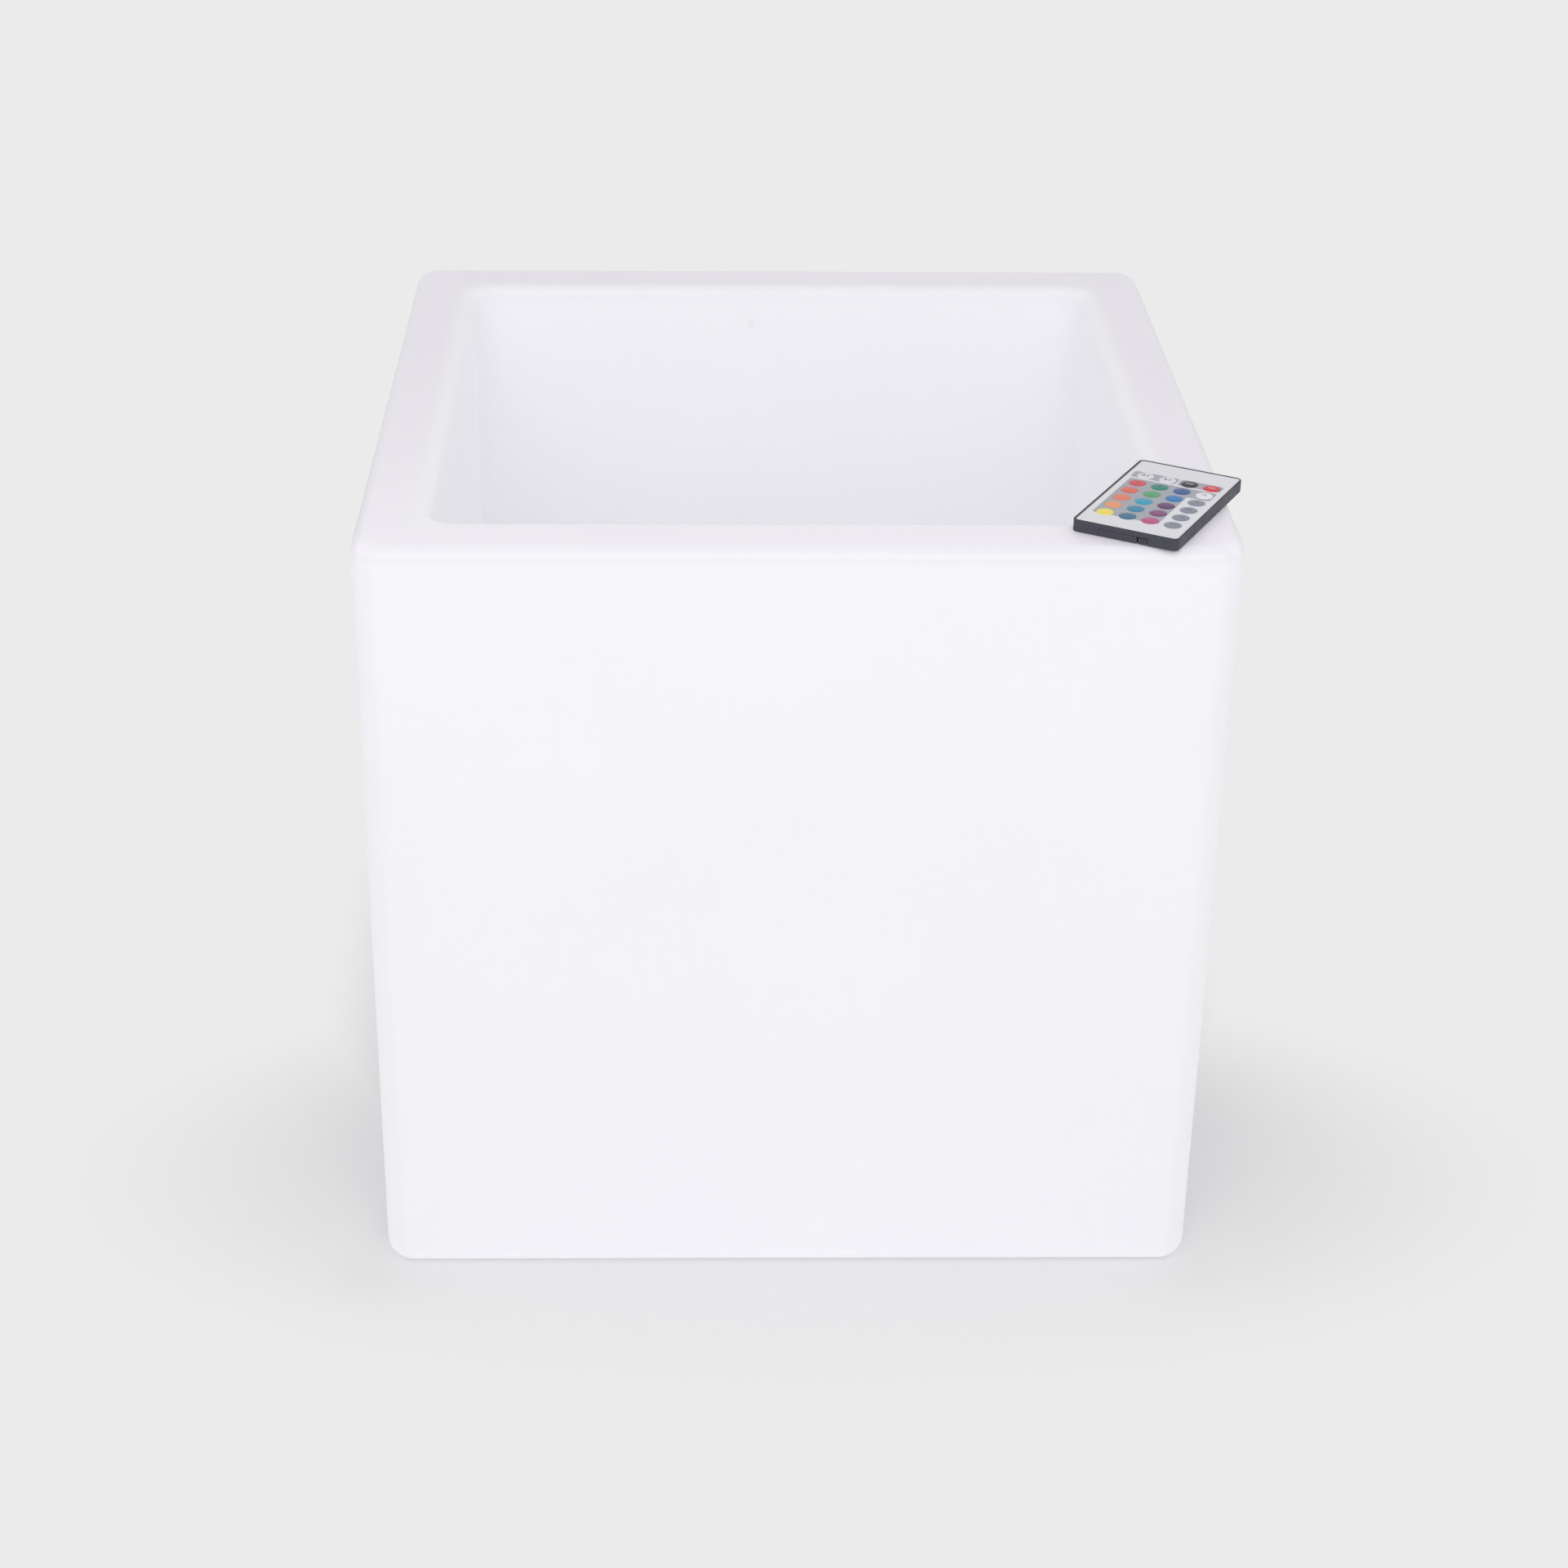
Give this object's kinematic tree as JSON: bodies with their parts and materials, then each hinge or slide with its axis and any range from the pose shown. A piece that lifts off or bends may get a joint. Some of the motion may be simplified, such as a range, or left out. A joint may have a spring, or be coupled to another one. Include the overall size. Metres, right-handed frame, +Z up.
{
  "type": "cube light",
  "caption": "Open-top double-walled translucent cube light with a deep basin, a lamp module in its base and a card remote on its rim.",
  "frame": {"origin": "centre of the cube's footprint, on the surface it stands on", "axes": "+Z up, +X to the right and +Y to the back as seen from the front, the side nearest the remote"},
  "size_m": [0.4168, 0.4114, 0.4065],
  "materials": {
    "polyethylene": "translucent, rotationally moulded, fine orange-peel skin",
    "black_plastic": "fine moulded texture",
    "silicone": "matte silicone",
    "frosted_lens": "frosted polycarbonate",
    "aluminium_sheet": "satin",
    "steel": "zinc-plated",
    "brass_inserts": "machined",
    "circuit_board": "solder mask",
    "white_board": "white solder mask",
    "led_body": "clear resin over phosphor",
    "component_black": "moulded packages",
    "cell_sleeve": "shrink sleeve",
    "lead_jacket": "soft PVC",
    "clear_plastic": "clear light pipe",
    "remote_shell": "fine moulded texture",
    "remote_film": "printed polyester film",
    "contact_metal": "plated spring strip",
    "coin_metal": "satin",
    "key_brighter": "printed, slightly domed",
    "key_dimmer": "printed, slightly domed",
    "key_off": "printed, slightly domed",
    "key_on": "printed, slightly domed",
    "key_red": "printed, slightly domed",
    "key_green": "printed, slightly domed",
    "key_blue": "printed, slightly domed",
    "key_white": "printed, slightly domed",
    "key_orange_red": "printed, slightly domed",
    "key_light_green": "printed, slightly domed",
    "key_light_blue": "printed, slightly domed",
    "key_flash": "printed, slightly domed",
    "key_orange": "printed, slightly domed",
    "key_cyan": "printed, slightly domed",
    "key_violet": "printed, slightly domed",
    "key_strobe": "printed, slightly domed",
    "key_amber": "printed, slightly domed",
    "key_teal": "printed, slightly domed",
    "key_purple": "printed, slightly domed",
    "key_fade": "printed, slightly domed",
    "key_yellow": "printed, slightly domed",
    "key_steel_blue": "printed, slightly domed",
    "key_pink": "printed, slightly domed",
    "key_smooth": "printed, slightly domed"
  },
  "bodies": {
    "cube": {"cube_shell": "polyethylene", "threaded_inserts": "brass_inserts", "housing_gasket": "silicone", "lamp_housing": "black_plastic", "housing_screws": "steel", "lens_dome": "frosted_lens", "lens_seal": "silicone", "lens_screws": "steel", "heat_sink": "aluminium_sheet", "led_board": "white_board", "led_chips": "led_body", "ir_receiver": "component_black", "control_board": "circuit_board", "control_components": "component_black", "inner_screws": "steel", "battery_cells": "cell_sleeve", "battery_cradle": "black_plastic", "battery_lead": "lead_jacket", "led_lead": "lead_jacket", "charging_socket": "component_black", "button_switch": "component_black", "status_window": "clear_plastic"},
    "remote": {"remote_case": "remote_shell", "remote_face_plate": "remote_shell", "remote_overlay": "remote_film", "remote_board": "circuit_board", "snap_domes": "coin_metal", "remote_chip": "component_black", "ir_emitter": "component_black", "battery_contacts": "contact_metal"},
    "tray": {"battery_tray": "remote_shell", "coin_cell": "coin_metal"},
    "tray_latch": {"tray_latch": "remote_shell"},
    "power_button": {"power_button": "silicone", "switch_plunger": "component_black"},
    "socket_bung": {"socket_bung": "silicone"},
    "key_brighter": {"key_brighter": "key_brighter"},
    "key_dimmer": {"key_dimmer": "key_dimmer"},
    "key_off": {"key_off": "key_off"},
    "key_on": {"key_on": "key_on"},
    "key_red": {"key_red": "key_red"},
    "key_green": {"key_green": "key_green"},
    "key_blue": {"key_blue": "key_blue"},
    "key_white": {"key_white": "key_white"},
    "key_orange_red": {"key_orange_red": "key_orange_red"},
    "key_light_green": {"key_light_green": "key_light_green"},
    "key_light_blue": {"key_light_blue": "key_light_blue"},
    "key_flash": {"key_flash": "key_flash"},
    "key_orange": {"key_orange": "key_orange"},
    "key_cyan": {"key_cyan": "key_cyan"},
    "key_violet": {"key_violet": "key_violet"},
    "key_strobe": {"key_strobe": "key_strobe"},
    "key_amber": {"key_amber": "key_amber"},
    "key_teal": {"key_teal": "key_teal"},
    "key_purple": {"key_purple": "key_purple"},
    "key_fade": {"key_fade": "key_fade"},
    "key_yellow": {"key_yellow": "key_yellow"},
    "key_steel_blue": {"key_steel_blue": "key_steel_blue"},
    "key_pink": {"key_pink": "key_pink"},
    "key_smooth": {"key_smooth": "key_smooth"}
  },
  "joints": [
    {"name": "remote_lift", "type": "slide", "parent": "cube", "child": "remote", "axis": [0, 0, 1], "range_m": [0, 0.12]},
    {"name": "tray_slide", "type": "slide", "parent": "remote", "child": "tray", "axis": [-0.4848, -0.8746, 0], "range_m": [0, 0.03]},
    {"name": "latch_pinch", "type": "hinge", "parent": "tray", "child": "tray_latch", "pos_m": [0.16165, -0.19307, 0.402], "axis": [0, 0, 1], "range_deg": [-5, 0], "stiffness_Nm_per_rad": 0.02},
    {"name": "power_press", "type": "slide", "parent": "cube", "child": "power_button", "axis": [0, 0, 1], "range_m": [0, 0.0005], "stiffness_N_per_m": 300},
    {"name": "bung_pull", "type": "slide", "parent": "cube", "child": "socket_bung", "axis": [0, 0, -1], "range_m": [0, 0.008]},
    {"name": "brighter_press", "type": "slide", "parent": "remote", "child": "key_brighter", "axis": [0, 0, -1], "range_m": [0, 0.0003], "stiffness_N_per_m": 300},
    {"name": "dimmer_press", "type": "slide", "parent": "remote", "child": "key_dimmer", "axis": [0, 0, -1], "range_m": [0, 0.0003], "stiffness_N_per_m": 300},
    {"name": "off_press", "type": "slide", "parent": "remote", "child": "key_off", "axis": [0, 0, -1], "range_m": [0, 0.0003], "stiffness_N_per_m": 300},
    {"name": "on_press", "type": "slide", "parent": "remote", "child": "key_on", "axis": [0, 0, -1], "range_m": [0, 0.0003], "stiffness_N_per_m": 300},
    {"name": "red_press", "type": "slide", "parent": "remote", "child": "key_red", "axis": [0, 0, -1], "range_m": [0, 0.0003], "stiffness_N_per_m": 300},
    {"name": "green_press", "type": "slide", "parent": "remote", "child": "key_green", "axis": [0, 0, -1], "range_m": [0, 0.0003], "stiffness_N_per_m": 300},
    {"name": "blue_press", "type": "slide", "parent": "remote", "child": "key_blue", "axis": [0, 0, -1], "range_m": [0, 0.0003], "stiffness_N_per_m": 300},
    {"name": "white_press", "type": "slide", "parent": "remote", "child": "key_white", "axis": [0, 0, -1], "range_m": [0, 0.0003], "stiffness_N_per_m": 300},
    {"name": "orange_red_press", "type": "slide", "parent": "remote", "child": "key_orange_red", "axis": [0, 0, -1], "range_m": [0, 0.0003], "stiffness_N_per_m": 300},
    {"name": "light_green_press", "type": "slide", "parent": "remote", "child": "key_light_green", "axis": [0, 0, -1], "range_m": [0, 0.0003], "stiffness_N_per_m": 300},
    {"name": "light_blue_press", "type": "slide", "parent": "remote", "child": "key_light_blue", "axis": [0, 0, -1], "range_m": [0, 0.0003], "stiffness_N_per_m": 300},
    {"name": "flash_press", "type": "slide", "parent": "remote", "child": "key_flash", "axis": [0, 0, -1], "range_m": [0, 0.0003], "stiffness_N_per_m": 300},
    {"name": "orange_press", "type": "slide", "parent": "remote", "child": "key_orange", "axis": [0, 0, -1], "range_m": [0, 0.0003], "stiffness_N_per_m": 300},
    {"name": "cyan_press", "type": "slide", "parent": "remote", "child": "key_cyan", "axis": [0, 0, -1], "range_m": [0, 0.0003], "stiffness_N_per_m": 300},
    {"name": "violet_press", "type": "slide", "parent": "remote", "child": "key_violet", "axis": [0, 0, -1], "range_m": [0, 0.0003], "stiffness_N_per_m": 300},
    {"name": "strobe_press", "type": "slide", "parent": "remote", "child": "key_strobe", "axis": [0, 0, -1], "range_m": [0, 0.0003], "stiffness_N_per_m": 300},
    {"name": "amber_press", "type": "slide", "parent": "remote", "child": "key_amber", "axis": [0, 0, -1], "range_m": [0, 0.0003], "stiffness_N_per_m": 300},
    {"name": "teal_press", "type": "slide", "parent": "remote", "child": "key_teal", "axis": [0, 0, -1], "range_m": [0, 0.0003], "stiffness_N_per_m": 300},
    {"name": "purple_press", "type": "slide", "parent": "remote", "child": "key_purple", "axis": [0, 0, -1], "range_m": [0, 0.0003], "stiffness_N_per_m": 300},
    {"name": "fade_press", "type": "slide", "parent": "remote", "child": "key_fade", "axis": [0, 0, -1], "range_m": [0, 0.0003], "stiffness_N_per_m": 300},
    {"name": "yellow_press", "type": "slide", "parent": "remote", "child": "key_yellow", "axis": [0, 0, -1], "range_m": [0, 0.0003], "stiffness_N_per_m": 300},
    {"name": "steel_blue_press", "type": "slide", "parent": "remote", "child": "key_steel_blue", "axis": [0, 0, -1], "range_m": [0, 0.0003], "stiffness_N_per_m": 300},
    {"name": "pink_press", "type": "slide", "parent": "remote", "child": "key_pink", "axis": [0, 0, -1], "range_m": [0, 0.0003], "stiffness_N_per_m": 300},
    {"name": "smooth_press", "type": "slide", "parent": "remote", "child": "key_smooth", "axis": [0, 0, -1], "range_m": [0, 0.0003], "stiffness_N_per_m": 300}
  ]
}
